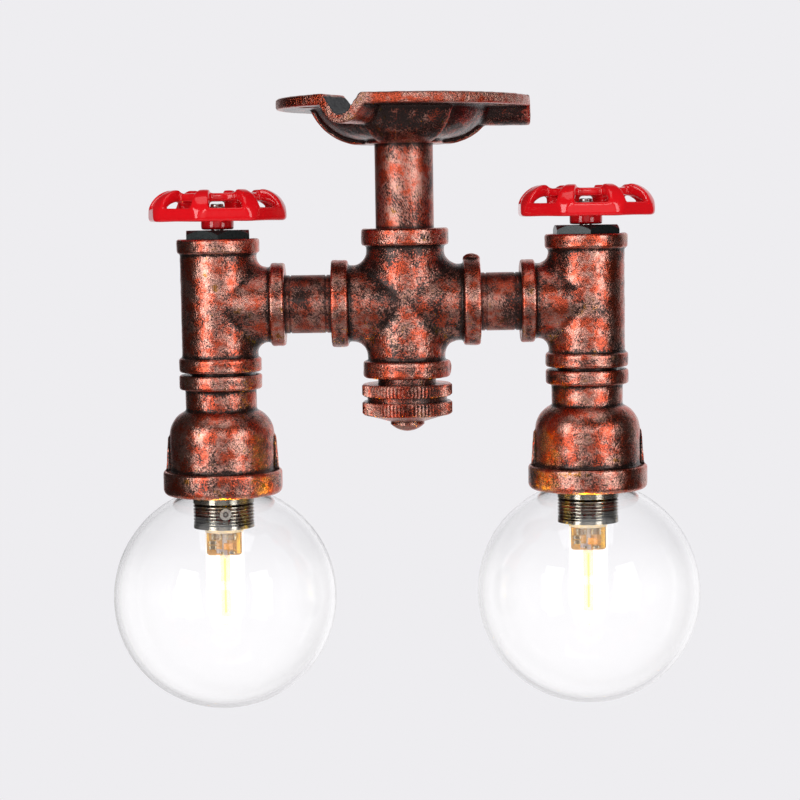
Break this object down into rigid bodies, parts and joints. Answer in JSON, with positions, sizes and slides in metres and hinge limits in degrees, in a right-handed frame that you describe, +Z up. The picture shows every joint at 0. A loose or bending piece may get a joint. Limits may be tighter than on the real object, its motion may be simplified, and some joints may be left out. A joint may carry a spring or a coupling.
{
  "type": "semi-flush ceiling light",
  "caption": "Semi-flush ceiling light of threaded pipe fittings: round ceiling flange, stem, cross and arms, valve wheels, bells with clear globes.",
  "frame": {"origin": "centre of the flange's ceiling face, on the axis of the stem", "axes": "+Z up, out of the ceiling face; X along the two arms; -Y to the front, from where the picture looks"},
  "size_m": [0.274, 0.1168, 0.2821],
  "materials": {
    "aged_copper": "cast iron, dark ground with a rubbed antique copper coat",
    "aged_copper_pipe": "steel pipe, rubbed antique copper coat",
    "black_iron": "black coat, satin",
    "red_enamel": "thick gloss enamel",
    "zinc_steel": "zinc plated",
    "nickel_brass": "dark nickel plate",
    "steatite": "unglazed",
    "contact_bronze": "bare",
    "lead_black": "silicone sleeve",
    "lead_white": "silicone sleeve",
    "lead_earth": "green and yellow sleeve",
    "clear_cover": "clear",
    "lamp_plastic": "moulded",
    "pin_wire": "bare wire",
    "circuit_board": "board with components",
    "light_strip": "phosphor strip, lit",
    "clear_glass": "clear blown glass"
  },
  "bodies": {
    "root": {"ceiling_flange": "aged_copper", "terminal_block": "steatite", "clamp_screws": "zinc_steel", "block_screw": "zinc_steel", "earth_screw": "zinc_steel", "earth_lead": "lead_earth", "stem_pipe": "aged_copper_pipe", "cross_fitting": "aged_copper", "knurled_lock_ring": "aged_copper", "knurled_plug": "aged_copper", "arm_nipple_left": "aged_copper_pipe", "tee_left": "aged_copper", "gland_bushing_left": "black_iron", "drop_nipple_left": "aged_copper_pipe", "bell_left": "aged_copper", "holder_bushing_left": "zinc_steel", "holder_tube_left": "zinc_steel", "tube_nuts_left": "zinc_steel", "lampholder_shell_left": "nickel_brass", "lampholder_ceramic_left": "steatite", "holder_contacts_left": "contact_bronze", "shell_screw_left": "nickel_brass", "live_lead_left": "lead_black", "neutral_lead_left": "lead_white", "arm_nipple_right": "aged_copper_pipe", "tee_right": "aged_copper", "gland_bushing_right": "black_iron", "drop_nipple_right": "aged_copper_pipe", "bell_right": "aged_copper", "holder_bushing_right": "zinc_steel", "holder_tube_right": "zinc_steel", "tube_nuts_right": "zinc_steel", "lampholder_shell_right": "nickel_brass", "lampholder_ceramic_right": "steatite", "holder_contacts_right": "contact_bronze", "shell_screw_right": "nickel_brass", "live_lead_right": "lead_black", "neutral_lead_right": "lead_white"},
    "wheel_left": {"spindle_left": "zinc_steel", "wheel_nut_left": "zinc_steel", "keeper_nut_left": "zinc_steel", "handwheel_left": "red_enamel"},
    "lamp_left": {"lamp_cover_left": "clear_cover", "lamp_base_left": "lamp_plastic", "lamp_pins_left": "pin_wire", "lamp_board_left": "circuit_board", "lamp_strip_left": "light_strip"},
    "glass_left": {"globe_left": "clear_glass"},
    "wheel_right": {"spindle_right": "zinc_steel", "wheel_nut_right": "zinc_steel", "keeper_nut_right": "zinc_steel", "handwheel_right": "red_enamel"},
    "lamp_right": {"lamp_cover_right": "clear_cover", "lamp_base_right": "lamp_plastic", "lamp_pins_right": "pin_wire", "lamp_board_right": "circuit_board", "lamp_strip_right": "light_strip"},
    "glass_right": {"globe_right": "clear_glass"}
  },
  "joints": [
    {"name": "wheel_turn_left", "type": "hinge", "parent": "root", "child": "wheel_left", "pos_m": [-0.0864, 0, -0.0551], "axis": [0, 0, 1], "continuous": true},
    {"name": "lamp_pull_left", "type": "slide", "parent": "root", "child": "lamp_left", "axis": [0, 0, -1], "range_m": [0, 0.014]},
    {"name": "globe_off_left", "type": "slide", "parent": "root", "child": "glass_left", "axis": [0, 0, -1], "range_m": [0, 0.09]},
    {"name": "wheel_turn_right", "type": "hinge", "parent": "root", "child": "wheel_right", "pos_m": [0.0836, 0, -0.0551], "axis": [0, 0, 1], "continuous": true},
    {"name": "lamp_pull_right", "type": "slide", "parent": "root", "child": "lamp_right", "axis": [0, 0, -1], "range_m": [0, 0.014]},
    {"name": "globe_off_right", "type": "slide", "parent": "root", "child": "glass_right", "axis": [0, 0, -1], "range_m": [0, 0.09]}
  ]
}
